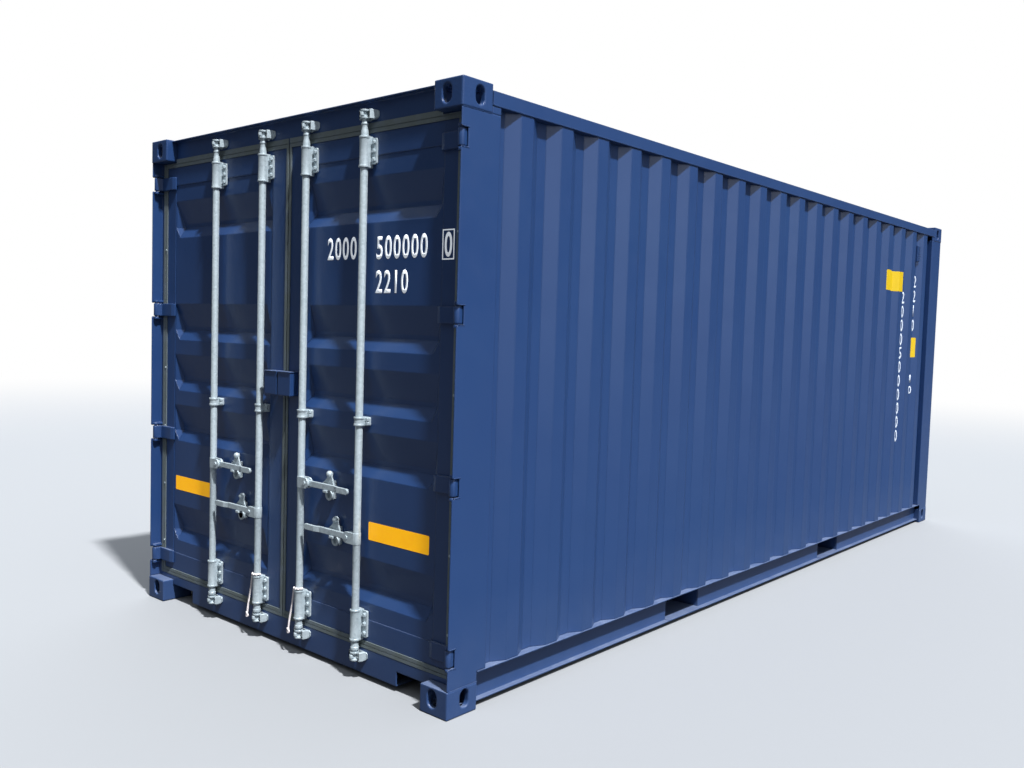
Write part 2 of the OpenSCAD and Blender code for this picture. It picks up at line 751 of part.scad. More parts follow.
// Locking bar bracket: sleeve round the bar with a bolted plate toward its right. Each guide lists the middle
// and height of the sleeve, the middle and height of the plate, the plate's reach and the depth of its seat.
guide_w = 54;
guide_low = leaf_low + 74;
guide_mid = leaf_low + 0.4393 * leaf_h;
guide_high = leaf_high - 86;
guides = [[guide_low, 142, guide_low + 5, 123, guide_w, leaf_face],
    [guide_mid, 40, guide_mid, 40, bar_inner - panel_x0 - 1, leaf_face + leaf_wall],
    [guide_high, 136, guide_high + 4, 114, guide_w, leaf_face]];
plate_t = 10;
plate_round = 8;
sleeve_r = bar_r + 5;
sleeve_rim_r = sleeve_r + 2.5;
sleeve_rim_h = 9;
module bar_guide(z, h, plate_z, plate_h, reach, back) {
    end_x = reach - plate_round;
    difference() {
        union() {
            upright(sleeve_r, z - h / 2, z + h / 2);
            for (s = [-1, 1]) translate([0, 0, s * (h - sleeve_rim_h) / 2])
                upright(sleeve_rim_r, z - sleeve_rim_h / 2, z + sleeve_rim_h / 2);
            span([-sleeve_r + 4, at(bar_depth), z - h / 2], [sleeve_r, at(back), z + h / 2]);
            along_y(leaf_face - plate_t, back) {
                translate([0, plate_z - plate_h / 2]) square([end_x, plate_h]);
                translate([0, plate_z - plate_h / 2 + plate_round]) square([reach, plate_h - 2 * plate_round]);
                for (s = [-1, 1])
                    translate([end_x, plate_z + s * (plate_h / 2 - plate_round)])
                        circle(r = plate_round, $fn = 32);
            }
        }
        upright(bar_r + 1, z - h / 2 - eps, z + h / 2 + eps);
    }
}

module bar_guides(xs) {
    color(zinc) for (x = xs, g = guides) translate([x, 0, 0])
        bar_guide(g[0], g[1], g[2], g[3], g[4], g[5]);
}

// Handle catch: a block on the leaf with a shelf under the handle, a hasp with a ball on top, a padlock ring
catch_back = leaf_face + leaf_wall;
catch_front = 50;
hasp_front = 42;
module handle_catch(x, z) {
    translate([x, 0, z]) {
        span([-24, at(catch_front), -56], [24, at(catch_back), 28]);
        along_y(hasp_front, catch_front) polygon([[-54, -10], [32, -10], [32, 10], [12, 56], [-14, 56],
            [-24, 34], [-54, 10]]);
        translate([-1, at(hasp_front + 2), 58]) sphere(r = 16, $fn = 32);
        along_y(hasp_front - 4, catch_front) difference() {
            translate([0, -40]) circle(r = 25, $fn = 48);
            translate([0, -40]) circle(r = 13, $fn = 48);
        }
        span([-14, at(handle_depth - handle_t), -handle_h / 2 - 12],
            [14, at(catch_front), -handle_h / 2 - seat_gap]);
    }
}

// Lock box on the middle of the doors, one half on each leaf
box_low = leaf_low + 0.473 * leaf_h;
box_high = box_low + 117;
box_front = 8;
box_out = 105;
box_slit = 4;
box_t = 4;
module lock_box_half() {
    color(blue) difference() {
        union() {
            span([box_slit, at(box_front), box_low], [box_out, at(leaf_face), box_high]);
            span([box_slit, at(box_front - box_t), box_high - box_t],
                [box_out + box_t, at(leaf_face), box_high]);
        }
        span([box_slit - eps, at(box_front + box_t), box_low - eps],
            [box_out - box_t, at(leaf_face) + eps, box_high - box_t]);
        span([0, at(lip_front - seat_gap), box_low - eps],
            [leaf_gap + eps, at(leaf_face) + eps, box_high + eps]);
    }
}

module right_door_frame() { leaf_frame(); }
module left_door_frame() { mirror([1, 0, 0]) leaf_frame(); }
module right_door_panel() { leaf_panel(); }
module left_door_panel() { mirror([1, 0, 0]) leaf_panel(); }
module right_door_gasket() { leaf_gasket(); }
module left_door_gasket() { mirror([1, 0, 0]) leaf_gasket(); }
module right_door_hinges() { hinge_blades(); }
module left_door_hinges() { mirror([1, 0, 0]) hinge_blades(); }
module right_bar_brackets() { bar_guides([bar_inner, bar_outer]); }
module left_bar_brackets() { bar_guides([-bar_outer, -bar_inner]); }
module right_lock_box() { lock_box_half(); }
module left_lock_box() { mirror([1, 0, 0]) lock_box_half(); }

catch_reach_high = 201;
catch_reach_low = 168;
module right_handle_catches() {
    color(zinc) {
        handle_catch(bar_inner + catch_reach_high, hub_high);
        handle_catch(bar_outer - catch_reach_low, hub_low);
    }
}

module left_handle_catches() {
    color(zinc) {
        handle_catch(-bar_outer + catch_reach_high, hub_high);
        handle_catch(-bar_inner - catch_reach_low, hub_low);
    }
}

// Locking bar: a hub whose two cheeks carry the handle on a rivet, necks, collars, and a cam at each end.
// side is 1 where the handle points along +X and -1 where it points along -X.
hub_h = 52;
hub_r = 19;
cheek_t = 10;
rivet_r = 6;
rivet_head_r = 10;
rivet_head_t = 4;
core_r = 12;
flange_t = 8;
nose_reach = 19;
nose_r = 8;
nose_h = 16;
neck_r = 13;
collar_r = 19.5;
eye_r = 20;
handle_front = handle_depth - handle_t / 2;
handle_back = handle_depth + handle_t / 2;

// Shape drawn in X and Z, and carried from one depth behind the door end to another
module along_y(d0, d1) {
    translate([0, at(d1), 0]) rotate([90, 0, 0]) linear_extrude(d1 - d0) children();
}

module upright(r, z0, z1) {
    translate([0, at(bar_depth), z0]) cylinder(r = r, h = z1 - z0, $fn = 48);
}

// Cam: core between two flanges, with a nose toward the outside
module cam(z) {
    upright(core_r, z - cam_h / 2, z + cam_h / 2);
    for (s = [-1, 1]) translate([0, 0, s * (cam_h - flange_t) / 2])
        upright(cam_r, z - flange_t / 2, z + flange_t / 2);
    translate([0, at(bar_depth), z - nose_h / 2]) {
        translate([-nose_r, -nose_reach, 0]) cube([2 * nose_r, nose_reach, nose_h]);
        translate([0, -nose_reach, 0]) cylinder(r = nose_r, h = nose_h, $fn = 48);
    }
}

module taper(r0, r1, z0, z1) {
    translate([0, at(bar_depth), z0]) cylinder(r1 = r0, r2 = r1, h = z1 - z0, $fn = 48);
}

module hub_cheek(d0, d1) {
    along_y(d0, d1) {
        translate([0, -hub_h / 2]) square([hub_reach, hub_h]);
        translate([hub_reach, 0]) circle(r = hub_h / 2, $fn = 48);
    }
}

module hub() {
    upright(hub_r, -hub_h / 2, hub_h / 2);
    hub_cheek(handle_front - seat_gap - cheek_t, handle_front - seat_gap);
    hub_cheek(handle_back + seat_gap, handle_back + seat_gap + cheek_t);
    along_y(handle_front - cheek_t, handle_back + cheek_t)
        translate([hub_reach, 0]) circle(r = rivet_r, $fn = 32);
    along_y(handle_front - seat_gap - cheek_t - rivet_head_t, handle_front - seat_gap - cheek_t)
        translate([hub_reach, 0]) circle(r = rivet_head_r, $fn = 32);
}

module lock_bar(x, hub_z, side) {
    low = cam_low + cam_h / 2;
    high = cam_high - cam_h / 2;
    color(zinc) translate([x, 0, 0]) mirror([side > 0 ? 0 : 1, 0, 0]) {
        cam(cam_low);
        upright(neck_r, low, low + 9);
        upright(collar_r, low + 9, low + 23);
        upright(bar_r, low + 23, high - 60);
        taper(bar_r, neck_r + 1, high - 60, high - 40);
        upright(neck_r + 1, high - 40, high - 25);
        upright(neck_r + 3, high - 25, high - 17);
        upright(neck_r, high - 17, high);
        cam(cam_high);
        translate([0, 0, hub_z]) hub();
    }
}

module lock_bar_1() { lock_bar(-bar_outer, hub_high, 1); }
module lock_bar_2() { lock_bar(-bar_inner, hub_low, -1); }
module lock_bar_3() { lock_bar(bar_inner, hub_high, 1); }
module lock_bar_4() { lock_bar(bar_outer, hub_low, -1); }

// Flat handle with an eye on the rivet and a grip that steps out from the door
joggle = 262;
joggle_run = 30;
module handle_arm() {
    grip_front = handle_front - grip_offset;
    root = hub_reach - eye_r;
    intersection() {
        translate([0, 0, -hub_h]) linear_extrude(2 * hub_h) polygon([
            [root, at(handle_front)], [joggle, at(handle_front)], [joggle + joggle_run, at(grip_front)],
            [handle_l + eps, at(grip_front)], [handle_l + eps, at(grip_front + handle_t)],
            [joggle + joggle_run, at(grip_front + handle_t)], [joggle, at(handle_back)], [root, at(handle_back)]]);
        along_y(0, leaf_face) {
            translate([hub_reach, 0]) circle(r = eye_r, $fn = 48);
            translate([hub_reach, -handle_h / 2]) square([handle_l - hub_reach - handle_h / 2, handle_h]);
            translate([handle_l - handle_h / 2, 0]) circle(d = handle_h, $fn = 48);
        }
    }
}

module lock_handle(x, z, side) {
    color(zinc) translate([x, 0, z]) mirror([side > 0 ? 0 : 1, 0, 0]) difference() {
        handle_arm();
        along_y(0, leaf_face) translate([hub_reach, 0]) circle(r = rivet_r + pin_clear, $fn = 32);
    }
}

module handle_1() { lock_handle(-bar_outer, hub_high, 1); }
module handle_2() { lock_handle(-bar_inner, hub_low, -1); }
module handle_3() { lock_handle(bar_inner, hub_high, 1); }
module handle_4() { lock_handle(bar_outer, hub_low, -1); }

// Tie rope, hanging beside an inner bar: points along its route from the bar's centre line
rope_r = 5;
rope_sides = 8;
rope_route = [[24, 3.7, 332], [19.8, -14.1, 332], [7.4, -23.1, 332], [-7.4, -23.1, 332], [-20, -15, 332],
    [-28, -9, 328], [-33, -8, 314], [-36, -8, 296], [-38, -8, 276], [-41, -9, 256], [-44, -10, 234],
    [-48, -11, 212], [-52, -13, 190], [-55, -15, 170], [-57, -16, 150], [-59, -17, 130], [-59, -17, 112]];

function ring(p, t) = let (
    dir = t / norm(t),
    side_raw = cross(dir, [0.13, 0.2, 0.97]),
    side = side_raw / norm(side_raw),
    up = cross(side, dir))
    [for (j = [0:rope_sides - 1]) let (a = 360 * j / rope_sides) p + rope_r * (cos(a) * side + sin(a) * up)];

module rope_tube(route) {
    n = len(route);
    rings = [for (i = [0:n - 1]) each ring(route[i], route[min(i + 1, n - 1)] - route[max(i - 1, 0)])];
    faces = concat(
        [[for (j = [0:rope_sides - 1]) rope_sides - 1 - j]],
        [for (i = [0:n - 2], j = [0:rope_sides - 1]) let (
            a = i * rope_sides + j, b = i * rope_sides + (j + 1) % rope_sides)
            each [[a, b, b + rope_sides], [a, b + rope_sides, a + rope_sides]]],
        [[for (j = [0:rope_sides - 1]) (n - 1) * rope_sides + j]]);
    color(rope_white) polyhedron(rings, faces);
}

module tie_rope_left() { translate([-bar_inner, at(bar_depth), 0]) rope_tube(rope_route); }
module tie_rope_right() { translate([bar_inner, at(bar_depth), 0]) rope_tube(rope_route); }

corner_fittings_bottom();
corner_fittings_top();
bottom_rail_right();
bottom_rail_left();
front_sill();
door_sill();
cross_members();
fork_pockets();
plywood_floor();
door_post_right();
door_post_left();
front_posts();
hinge_lugs();
top_rail_right();
top_rail_left();
front_header();
door_header();
roof_panel();
right_wall();
left_wall();
front_wall();
wall_vents();
cam_keepers();
right_door_frame();
right_door_panel();
right_door_gasket();
right_door_hinges();
right_bar_brackets();
right_handle_catches();
right_lock_box();
left_door_frame();
left_door_panel();
left_door_gasket();
left_door_hinges();
left_bar_brackets();
left_handle_catches();
left_lock_box();
lock_bar_1();
lock_bar_2();
lock_bar_3();
lock_bar_4();
handle_1();
handle_2();
handle_3();
handle_4();
tie_rope_left();
tie_rope_right();
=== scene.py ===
# Twenty foot cargo container: finishes, markings, plates, bolts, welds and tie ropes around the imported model
import math

import bpy
from mathutils import Matrix, Vector


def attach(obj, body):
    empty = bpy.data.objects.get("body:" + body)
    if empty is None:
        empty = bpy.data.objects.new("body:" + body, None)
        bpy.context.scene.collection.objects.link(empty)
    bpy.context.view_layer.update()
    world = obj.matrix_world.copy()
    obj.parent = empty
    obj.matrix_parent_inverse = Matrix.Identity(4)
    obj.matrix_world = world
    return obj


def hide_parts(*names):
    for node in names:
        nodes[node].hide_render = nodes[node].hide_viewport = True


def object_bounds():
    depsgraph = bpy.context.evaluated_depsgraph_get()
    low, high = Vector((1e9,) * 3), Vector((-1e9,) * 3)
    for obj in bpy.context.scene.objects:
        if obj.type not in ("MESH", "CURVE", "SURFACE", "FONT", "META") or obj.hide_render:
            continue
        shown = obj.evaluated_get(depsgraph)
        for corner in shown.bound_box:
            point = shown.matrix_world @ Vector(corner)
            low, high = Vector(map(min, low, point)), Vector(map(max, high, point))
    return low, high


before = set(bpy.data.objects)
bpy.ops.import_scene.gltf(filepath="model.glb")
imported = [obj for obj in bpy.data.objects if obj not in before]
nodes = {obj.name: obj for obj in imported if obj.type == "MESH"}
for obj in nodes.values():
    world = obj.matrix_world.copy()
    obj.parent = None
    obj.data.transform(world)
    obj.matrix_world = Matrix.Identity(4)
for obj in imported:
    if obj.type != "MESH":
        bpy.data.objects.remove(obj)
cadLow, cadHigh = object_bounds()
mm = 0.001
doorEnd = cadLow.y  # the end of the corner fittings
print("frame loaded:", len(nodes), "nodes")

# Camera, solved from the corner fittings
cameraView = {
    "place": (3.8071, -5.6589, 1.6056),
    "azimuth": 41.0267,  # degrees
    "elevation": 3.4224,
    "roll": 1.7071,
    "lens": 32.594,  # millimetres
    "sensor": 36.0,
    "reach": 200,  # metres
}


def addCamera():
    azimuth, elevation, roll = (math.radians(cameraView[k]) for k in ("azimuth", "elevation", "roll"))
    back = Vector((math.sin(azimuth) * math.cos(elevation), -math.cos(azimuth) * math.cos(elevation),
                   math.sin(elevation)))
    level = Vector((math.cos(azimuth), math.sin(azimuth), 0))
    upright = back.cross(level)
    right = level * math.cos(roll) + upright * math.sin(roll)
    up = upright * math.cos(roll) - level * math.sin(roll)
    bpy.ops.object.camera_add(location=cameraView["place"])
    camera = bpy.context.object
    camera.rotation_mode = "QUATERNION"
    camera.rotation_quaternion = Matrix((right, up, back)).transposed().to_quaternion()
    camera.data.lens = cameraView["lens"]
    camera.data.sensor_width = cameraView["sensor"]
    camera.data.clip_end = cameraView["reach"]
    bpy.context.scene.camera = camera


addCamera()


def deselectAll():
    for thing in bpy.context.selected_objects:
        thing.select_set(False)


def onlySelect(piece):
    deselectAll()
    piece.select_set(True)
    bpy.context.view_layer.objects.active = piece


def settle(piece):  # its place goes into its mesh
    onlySelect(piece)
    bpy.ops.object.transform_apply(location=True, rotation=True, scale=True)


def finishPiece(piece, name, body, material):
    settle(piece)
    piece.name = name
    piece.data.name = name
    piece.data.materials.clear()
    piece.data.materials.append(material)
    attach(piece, body)
    return piece


def copies(piece, offsets):  # one mesh of the piece repeated at each offset from where it stands
    settle(piece)
    made = []
    for offset in offsets:
        twin = piece.copy()
        twin.data = piece.data.copy()
        twin.location = offset
        bpy.context.collection.objects.link(twin)
        made.append(twin)
    deselectAll()
    for twin in made:
        twin.select_set(True)
    bpy.context.view_layer.objects.active = made[0]
    if len(made) > 1:
        bpy.ops.object.join()
    bpy.data.objects.remove(piece)
    return bpy.context.view_layer.objects.active


def applyModifier(piece, kind, **settings):
    onlySelect(piece)
    modifier = piece.modifiers.new(kind.title(), kind)
    for key, value in settings.items():
        setattr(modifier, key, value)
    bpy.ops.object.modifier_apply(modifier=modifier.name)


def selectFaces(piece, chosen):  # in edit mode, selects the faces whose centre and normal pass
    bpy.ops.mesh.select_mode(type="FACE")
    bpy.ops.mesh.select_all(action="DESELECT")
    bpy.ops.object.mode_set(mode="OBJECT")
    for face in piece.data.polygons:
        face.select = chosen(face.center, face.normal)
    bpy.ops.object.mode_set(mode="EDIT")


# Materials. Their sizes are in metres, and spots and blotches are counted per metre
def linearColour(text):
    channels = [int(text[i:i + 2], 16) / 255 for i in (1, 3, 5)]
    return tuple(c / 12.92 if c <= 0.04045 else ((c + 0.055) / 1.055) ** 2.4 for c in channels) + (1,)


def newMaterial(name):
    material = bpy.data.materials.new(name)
    material.use_nodes = True
    return material, material.node_tree.nodes["Principled BSDF"]


def addNode(material, kind, links=None, values=None, **settings):
    node = material.node_tree.nodes.new(kind)
    for key, value in settings.items():
        setattr(node, key, value)
    for key, value in (values or {}).items():
        node.inputs[key].default_value = value
    for key, socket in (links or {}).items():
        plug(material, socket, node.inputs[key])
    return node


def plug(material, outlet, inlet):
    material.node_tree.links.new(outlet, inlet)


# Chlorinated rubber topcoat, sprayed on shot blasted weathering steel: satin, with a soft orange peel,
# faint cloudiness from chalking, dust low down, upward faces lighter from dust and a painted highlight,
# soft edges where it has flowed round them, and the slow waves of pressed sheet
paint = {
    "colour": "#1d3867", "cloud": "#24416e", "cloudSize": 0.9,
    # the pale dust colour also paints a highlight on upward faces
    "dustAndHighlightColour": "#a3adbf", "dustHeight": 0.5, "lowDust": 0.08, "upwardDustAndHighlightShare": 0.45, "upwardDustAndHighlightFrom": 0.7, "blotches": 9,
    "roughness": (0.3, 0.42), "edge": 0.009,
    "wave": 0.35, "waveStrength": 0.35, "waveDepth": 0.012,
    "peel": 0.009, "peelOnSheet": (0.25, 0.0006), "peelOnCasting": (0.6, 0.0012),  # strength and depth
}


def paintedSteel(name, peelStrength, peelDepth):
    material, shader = newMaterial(name)
    place = addNode(material, "ShaderNodeTexCoord").outputs["Object"]
    cloud = addNode(material, "ShaderNodeTexNoise", {"Vector": place},
                    {"Scale": 1 / paint["cloudSize"], "Detail": 5, "Roughness": 0.6})
    body = addNode(material, "ShaderNodeMix", {"Factor": cloud.outputs["Fac"]},
                   {"A": linearColour(paint["colour"]), "B": linearColour(paint["cloud"])}, data_type="RGBA")
    height = addNode(material, "ShaderNodeSeparateXYZ", {"Vector": place}).outputs["Z"]
    low = addNode(material, "ShaderNodeMapRange", {"Value": height},
                  {"From Max": paint["dustHeight"], "To Min": paint["lowDust"], "To Max": 0.0})
    normal = addNode(material, "ShaderNodeNewGeometry").outputs["Normal"]
    facing = addNode(material, "ShaderNodeSeparateXYZ", {"Vector": normal}).outputs["Z"]
    # upward faces lighter: partly dust on ledges, partly a painted highlight where light falls from above
    upwardDustAndHighlightMask = addNode(material, "ShaderNodeMapRange", {"Value": facing},
                    {"From Min": paint["upwardDustAndHighlightFrom"], "To Max": paint["upwardDustAndHighlightShare"]})
    blotch = addNode(material, "ShaderNodeTexNoise", {"Vector": place},
                     {"Scale": paint["blotches"], "Detail": 8, "Roughness": 0.7})
    both = addNode(material, "ShaderNodeMath", {0: low.outputs[0], 1: upwardDustAndHighlightMask.outputs[0]}, operation="ADD")
    share = addNode(material, "ShaderNodeMath", {0: both.outputs[0], 1: blotch.outputs["Fac"]},
                    operation="MULTIPLY")
    dustAndHighlightMix = addNode(material, "ShaderNodeMix", {"Factor": share.outputs[0], "A": body.outputs["Result"]},
                    {"B": linearColour(paint["dustAndHighlightColour"])}, data_type="RGBA")
    plug(material, dustAndHighlightMix.outputs["Result"], shader.inputs["Base Color"])
    smooth, dull = paint["roughness"]
    sheen = addNode(material, "ShaderNodeMapRange", {"Value": blotch.outputs["Fac"]},
                    {"From Min": 0.3, "From Max": 0.7, "To Min": smooth, "To Max": dull})
    plug(material, sheen.outputs[0], shader.inputs["Roughness"])
    rounded = addNode(material, "ShaderNodeBevel", values={"Radius": paint["edge"]})
    slow = addNode(material, "ShaderNodeTexNoise", {"Vector": place}, {"Scale": 1 / paint["wave"], "Detail": 1})
    waves = addNode(material, "ShaderNodeBump",
                    {"Height": slow.outputs["Fac"], "Normal": rounded.outputs["Normal"]},
                    {"Strength": paint["waveStrength"], "Distance": paint["waveDepth"]})
    peel = addNode(material, "ShaderNodeTexNoise", {"Vector": place}, {"Scale": 1 / paint["peel"], "Detail": 2})
    skin = addNode(material, "ShaderNodeBump",
                   {"Height": peel.outputs["Fac"], "Normal": waves.outputs["Normal"]},
                   {"Strength": peelStrength, "Distance": peelDepth})
    plug(material, skin.outputs["Normal"], shader.inputs["Normal"])
    return material


paintedSheet = paintedSteel("chlorinatedRubberOnSheet", *paint["peelOnSheet"])
paintedCasting = paintedSteel("chlorinatedRubberOnCasting", *paint["peelOnCasting"])

# Hot dip galvanised steel: pale grey crystals about 12 mm across, each with its own tone and sheen
zinc = {
    "light": "#b6c3ca", "dark": "#8b9aa3", "spangle": 0.012, "mottles": 22,
    "roughness": (0.34, 0.5), "metallic": 0.25, "bumpStrength": 0.3, "bumpDepth": 0.001,
}


def makeZinc():
    material, shader = newMaterial("hotDipGalvanised")
    place = addNode(material, "ShaderNodeTexCoord").outputs["Object"]
    crystals = addNode(material, "ShaderNodeTexVoronoi", {"Vector": place}, {"Scale": 1 / zinc["spangle"]})
    grey = addNode(material, "ShaderNodeSeparateColor", {"Color": crystals.outputs["Color"]}).outputs["Red"]
    mottle = addNode(material, "ShaderNodeTexNoise", {"Vector": place}, {"Scale": zinc["mottles"], "Detail": 6})
    blend = addNode(material, "ShaderNodeMath", {0: grey, 1: mottle.outputs["Fac"]}, operation="MULTIPLY")
    colour = addNode(material, "ShaderNodeMix", {"Factor": blend.outputs[0]},
                     {"A": linearColour(zinc["light"]), "B": linearColour(zinc["dark"])}, data_type="RGBA")
    plug(material, colour.outputs["Result"], shader.inputs["Base Color"])
    smooth, dull = zinc["roughness"]
    sheen = addNode(material, "ShaderNodeMapRange", {"Value": grey}, {"To Min": smooth, "To Max": dull})
    plug(material, sheen.outputs[0], shader.inputs["Roughness"])
    bump = addNode(material, "ShaderNodeBump", {"Height": mottle.outputs["Fac"]},
                   {"Strength": zinc["bumpStrength"], "Distance": zinc["bumpDepth"]})
    plug(material, bump.outputs["Normal"], shader.inputs["Normal"])
    shader.inputs["Metallic"].default_value = zinc["metallic"]
    return material


galvanised = makeZinc()

# Extruded rubber sealing strip: matt olive grey, with a fine grain and paint mist
rubber = {
    "colour": "#616b6c", "mist": "#6d7a8c", "mistSpots": 14, "mistShare": 0.6,
    "grain": 0.004, "bumpStrength": 0.4, "bumpDepth": 0.0005, "roughness": 0.75,
}


def makeRubber():
    material, shader = newMaterial("extrudedSealRubber")
    place = addNode(material, "ShaderNodeTexCoord").outputs["Object"]
    mist = addNode(material, "ShaderNodeTexNoise", {"Vector": place},
                   {"Scale": rubber["mistSpots"], "Detail": 7, "Roughness": 0.7})
    share = addNode(material, "ShaderNodeMapRange", {"Value": mist.outputs["Fac"]},
                    {"From Min": 0.45, "From Max": 0.75, "To Max": rubber["mistShare"]})
    colour = addNode(material, "ShaderNodeMix", {"Factor": share.outputs[0]},
                     {"A": linearColour(rubber["colour"]), "B": linearColour(rubber["mist"])}, data_type="RGBA")
    plug(material, colour.outputs["Result"], shader.inputs["Base Color"])
    grain = addNode(material, "ShaderNodeTexNoise", {"Vector": place}, {"Scale": 1 / rubber["grain"]})
    bump = addNode(material, "ShaderNodeBump", {"Height": grain.outputs["Fac"]},
                   {"Strength": rubber["bumpStrength"], "Distance": rubber["bumpDepth"]})
    plug(material, bump.outputs["Normal"], shader.inputs["Normal"])
    shader.inputs["Roughness"].default_value = rubber["roughness"]
    return material


sealRubber = makeRubber()

# Varnished hardwood plywood: long red brown grain, in sheets of 1.2 m that differ a little in tone
plywood = {
    "light": "#a5714a", "dark": "#6b4228", "grain": 0.025, "alongGrain": 1.2, "plies": 8, "sheet": 1.22,
    "bumpStrength": 0.3, "bumpDepth": 0.0008, "roughness": 0.5,
}


def makePlywood():
    material, shader = newMaterial("varnishedPlywood")
    place = addNode(material, "ShaderNodeTexCoord").outputs["Object"]
    stretched = addNode(material, "ShaderNodeMapping", {"Vector": place},
                        {"Scale": (1 / plywood["grain"], plywood["alongGrain"], plywood["plies"])})
    grain = addNode(material, "ShaderNodeTexNoise", {"Vector": stretched.outputs["Vector"]},
                    {"Scale": 1, "Detail": 8, "Roughness": 0.65, "Distortion": 0.4})
    tone = addNode(material, "ShaderNodeTexNoise", {"Vector": place},
                   {"Scale": 1 / plywood["sheet"], "Detail": 1})
    total = addNode(material, "ShaderNodeMath", {0: grain.outputs["Fac"], 1: tone.outputs["Fac"]},
                    operation="ADD")
    share = addNode(material, "ShaderNodeMapRange", {"Value": total.outputs[0]},
                    {"From Min": 0.7, "From Max": 1.3})
    colour = addNode(material, "ShaderNodeMix", {"Factor": share.outputs[0]},
                     {"A": linearColour(plywood["light"]), "B": linearColour(plywood["dark"])},
                     data_type="RGBA")
    plug(material, colour.outputs["Result"], shader.inputs["Base Color"])
    bump = addNode(material, "ShaderNodeBump", {"Height": grain.outputs["Fac"]},
                   {"Strength": plywood["bumpStrength"], "Distance": plywood["bumpDepth"]})
    plug(material, bump.outputs["Normal"], shader.inputs["Normal"])
    shader.inputs["Roughness"].default_value = plywood["roughness"]
    return material


varnishedPlywood = makePlywood()

# Twisted nylon: off-white fibres of about 1 mm in each strand, faintly soiled
nylon = {
    "colour": "#f4eeee", "shade": "#cdbec2", "fibre": 0.0012, "soilSpots": 40,
    "bumpStrength": 0.6, "bumpDepth": 0.0006, "roughness": 0.5,
}


def makeNylon():
    material, shader = newMaterial("twistedNylon")
    place = addNode(material, "ShaderNodeTexCoord").outputs["Object"]
    fibres = addNode(material, "ShaderNodeTexNoise", {"Vector": place},
                     {"Scale": 1 / nylon["fibre"], "Detail": 3})
    soil = addNode(material, "ShaderNodeTexNoise", {"Vector": place},
                   {"Scale": nylon["soilSpots"], "Detail": 4})
    share = addNode(material, "ShaderNodeMath", {0: fibres.outputs["Fac"], 1: soil.outputs["Fac"]},
                    operation="MULTIPLY")
    colour = addNode(material, "ShaderNodeMix", {"Factor": share.outputs[0]},
                     {"A": linearColour(nylon["colour"]), "B": linearColour(nylon["shade"])}, data_type="RGBA")
    plug(material, colour.outputs["Result"], shader.inputs["Base Color"])
    bump = addNode(material, "ShaderNodeBump", {"Height": fibres.outputs["Fac"]},
                   {"Strength": nylon["bumpStrength"], "Distance": nylon["bumpDepth"]})
    plug(material, bump.outputs["Normal"], shader.inputs["Normal"])
    shader.inputs["Roughness"].default_value = nylon["roughness"]
    return material


twistedNylon = makeNylon()

# Cast vinyl film, cut and rolled on: even colour, with a little dirt in the paint's peel that shows through it,
# and a painted glow, given per copy, that stands in for light
vinyl = {"dirtSpots": 16, "dirtShare": 0.5, "bumpStrength": 0.2, "bumpDepth": 0.0004}


def makeVinyl(name, fresh, worn, roughness, glow):
    material, shader = newMaterial(name)
    place = addNode(material, "ShaderNodeTexCoord").outputs["Object"]
    dirt = addNode(material, "ShaderNodeTexNoise", {"Vector": place},
                   {"Scale": vinyl["dirtSpots"], "Detail": 8, "Roughness": 0.7})
    share = addNode(material, "ShaderNodeMapRange", {"Value": dirt.outputs["Fac"]},
                    {"From Min": 0.5, "From Max": 0.85, "To Max": vinyl["dirtShare"]})
    colour = addNode(material, "ShaderNodeMix", {"Factor": share.outputs[0]},
                     {"A": linearColour(fresh), "B": linearColour(worn)}, data_type="RGBA")
    plug(material, colour.outputs["Result"], shader.inputs["Base Color"])
    peel = addNode(material, "ShaderNodeTexNoise", {"Vector": place}, {"Scale": 1 / paint["peel"], "Detail": 2})
    bump = addNode(material, "ShaderNodeBump", {"Height": peel.outputs["Fac"]},
                   {"Strength": vinyl["bumpStrength"], "Distance": vinyl["bumpDepth"]})
    plug(material, bump.outputs["Normal"], shader.inputs["Normal"])
    # painted glow: the film's own colour given out as light, standing in for light on the shaded door end
    plug(material, colour.outputs["Result"], shader.inputs["Emission Color"])
    shader.inputs["Emission Strength"].default_value = glow
    shader.inputs["Roughness"].default_value = roughness
    return material


# Copies for the shaded door end carry a painted glow that stands in for light; the copies on the sunlit wall
# have none, and their colours are painted darker against the sun
whiteVinylPaintedGlow = makeVinyl("whiteVinylPaintedGlow", "#eef4fb", "#c9cfd8", roughness=0.4, glow=0.34)
yellowVinylPaintedGlow = makeVinyl("yellowVinylPaintedGlow", "#fdb500", "#dd9c08", roughness=0.45, glow=0.4)
whiteVinylPaintedDarkForSun = makeVinyl("whiteVinylPaintedDarkForSun", "#d3ddec", "#b4bfce", roughness=0.4, glow=0.0)
yellowVinylPaintedDarkForSun = makeVinyl("yellowVinylPaintedDarkForSun", "#cfae06", "#bb9c12", roughness=0.45, glow=0.0)
print("materials made")

# Tie ropes round the inner bars: the route of part.scad in millimetres from the bars' axes, then a small loop
rope = {
    "bars": {"left": -176, "right": 176}, "barDepth": 30,
    "diameter": 10, "strands": 3, "lay": 34, "step": 3,
    "strandShare": 0.464,  # of the rope's radius, so that three round strands fill it
    "swell": 1.06,  # presses the strands together
    "route": [(24, 3.7, 332), (19.8, -14.1, 332), (7.4, -23.1, 332), (-7.4, -23.1, 332), (-20, -15, 332),
              (-28, -9, 328), (-33, -8, 314), (-36, -8, 296), (-38, -8, 276), (-41, -9, 256),
              (-44, -10, 234), (-48, -11, 212), (-52, -13, 190), (-55, -15, 170), (-57, -16, 150),
              (-59, -17, 130)],
    "loop": [(-60, -17, 120), (-66, -17, 110), (-64, -18, 102), (-57, -18, 101), (-53, -18, 108),
             (-56, -19, 118), (-62, -22, 126)],
}


